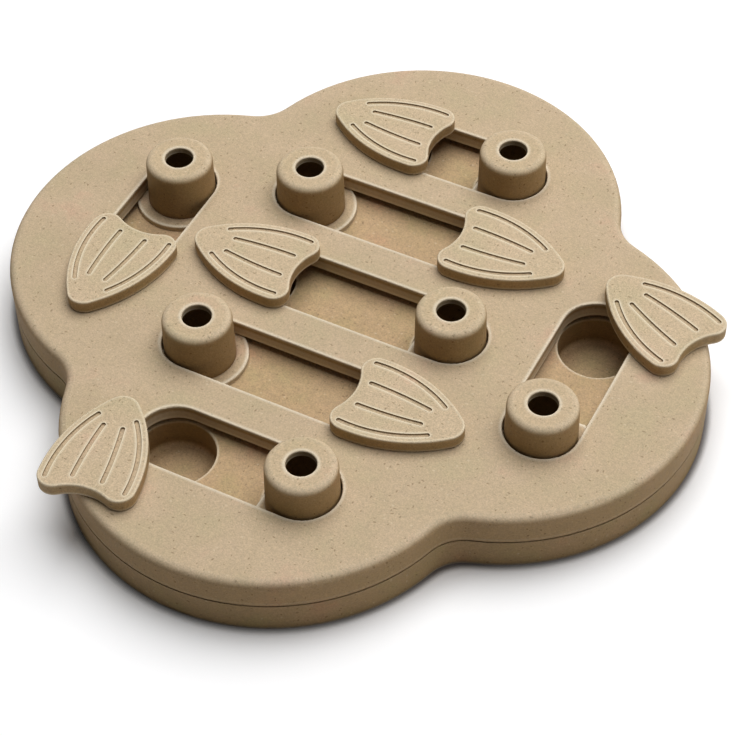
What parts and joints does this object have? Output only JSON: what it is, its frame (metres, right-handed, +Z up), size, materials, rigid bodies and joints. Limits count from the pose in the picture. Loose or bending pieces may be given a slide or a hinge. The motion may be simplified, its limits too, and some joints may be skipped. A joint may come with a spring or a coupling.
{
  "type": "dog puzzle feeder toy",
  "caption": "Four-lobed dog treat puzzle board with slots whose ends hide sunk treat wells, covered by hollow sliding knobs and fish-tail flippers that turn on pins.",
  "frame": {"origin": "on the floor under the middle of the board", "axes": "+Z up through the flat board; five slots run along X and the two outer side slots run along Y"},
  "size_m": [0.378, 0.378, 0.053],
  "materials": {
    "case_composite": "matte speckled tan wood-fibre composite",
    "slider_composite": "matte speckled tan wood-fibre composite",
    "flipper_composite": "matte speckled tan wood-fibre composite",
    "steel": "plain zinc-plated steel"
  },
  "bodies": {
    "case": {"top_cover": "case_composite", "base_shell": "case_composite", "case_screws": "steel"},
    "slider_left": {"slider_left": "slider_composite"},
    "slider_upper": {"slider_upper": "slider_composite"},
    "slider_top": {"slider_top": "slider_composite"},
    "slider_middle": {"slider_middle": "slider_composite"},
    "slider_lower": {"slider_lower": "slider_composite"},
    "slider_bottom": {"slider_bottom": "slider_composite"},
    "slider_right": {"slider_right": "slider_composite"},
    "flipper_left": {"flipper_left": "flipper_composite", "flipper_washer_left": "steel", "flipper_screw_left": "steel"},
    "flipper_upper": {"flipper_upper": "flipper_composite", "flipper_washer_upper": "steel", "flipper_screw_upper": "steel"},
    "flipper_top": {"flipper_top": "flipper_composite", "flipper_washer_top": "steel", "flipper_screw_top": "steel"},
    "flipper_middle": {"flipper_middle": "flipper_composite", "flipper_washer_middle": "steel", "flipper_screw_middle": "steel"},
    "flipper_lower": {"flipper_lower": "flipper_composite", "flipper_washer_lower": "steel", "flipper_screw_lower": "steel"},
    "flipper_bottom": {"flipper_bottom": "flipper_composite", "flipper_washer_bottom": "steel", "flipper_screw_bottom": "steel"},
    "flipper_right": {"flipper_right": "flipper_composite", "flipper_washer_right": "steel", "flipper_screw_right": "steel"}
  },
  "joints": [
    {"name": "left_slide", "type": "slide", "parent": "case", "child": "slider_left", "axis": [0, -1, 0], "range_m": [0, 0.0275]},
    {"name": "upper_slide", "type": "slide", "parent": "case", "child": "slider_upper", "axis": [1, 0, 0], "range_m": [0, 0.069]},
    {"name": "top_slide", "type": "slide", "parent": "case", "child": "slider_top", "axis": [-1, 0, 0], "range_m": [0, 0.028]},
    {"name": "middle_slide", "type": "slide", "parent": "case", "child": "slider_middle", "axis": [-1, 0, 0], "range_m": [0, 0.062]},
    {"name": "lower_slide", "type": "slide", "parent": "case", "child": "slider_lower", "axis": [1, 0, 0], "range_m": [0, 0.069]},
    {"name": "bottom_slide", "type": "slide", "parent": "case", "child": "slider_bottom", "axis": [-1, 0, 0], "range_m": [0, 0.062]},
    {"name": "right_slide", "type": "slide", "parent": "case", "child": "slider_right", "axis": [0, 1, 0], "range_m": [0, 0.0545]},
    {"name": "left_turn", "type": "hinge", "parent": "case", "child": "flipper_left", "pos_m": [-0.122, -0.0636, 0.0345], "axis": [0, 0, 1], "range_deg": [-42, 100]},
    {"name": "upper_turn", "type": "hinge", "parent": "case", "child": "flipper_upper", "pos_m": [0.0842, 0.06, 0.0345], "axis": [0, 0, -1], "range_deg": [-22, 100]},
    {"name": "top_turn", "type": "hinge", "parent": "case", "child": "flipper_top", "pos_m": [-0.0636, 0.12, 0.0345], "axis": [0, 0, 1], "range_deg": [-35, 100]},
    {"name": "middle_turn", "type": "hinge", "parent": "case", "child": "flipper_middle", "pos_m": [-0.0842, 0, 0.0345], "axis": [0, 0, 1], "range_deg": [-22, 22]},
    {"name": "lower_turn", "type": "hinge", "parent": "case", "child": "flipper_lower", "pos_m": [0.0842, -0.06, 0.0345], "axis": [0, 0, 1], "range_deg": [-22, 100]},
    {"name": "bottom_turn", "type": "hinge", "parent": "case", "child": "flipper_bottom", "pos_m": [-0.0636, -0.12, 0.0345], "axis": [0, 0, -1], "range_deg": [-114, 25]},
    {"name": "right_turn", "type": "hinge", "parent": "case", "child": "flipper_right", "pos_m": [0.122, 0.0636, 0.0345], "axis": [0, 0, 1], "range_deg": [-93, 37]}
  ]
}
